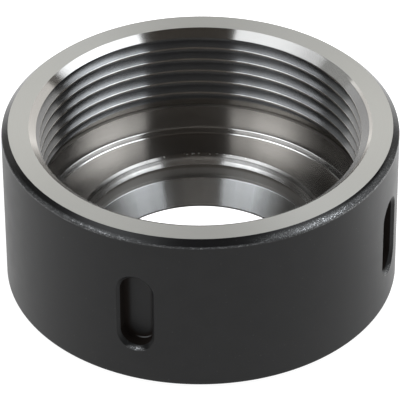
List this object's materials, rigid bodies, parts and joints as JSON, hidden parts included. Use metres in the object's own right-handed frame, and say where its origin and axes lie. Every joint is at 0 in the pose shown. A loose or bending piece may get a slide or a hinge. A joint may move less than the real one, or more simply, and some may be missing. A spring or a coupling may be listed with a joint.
{
  "type": "collet nut",
  "caption": "Round clamping nut for a spring collet: threaded mouth, inner lip and cone at the nose, spanner slots round the side.",
  "frame": {"origin": "middle of the nose face, on the nut's axis", "axes": "+Z along the nut's axis towards the threaded mouth, a spanner slot faces -Y"},
  "size_m": [0.06, 0.06, 0.0275],
  "materials": {
    "nut_steel": "blackened outside with a satin sheen, ground end face, bright turned bore"
  },
  "bodies": {
    "root": {"collet_nut": "nut_steel"}
  },
  "joints": []
}
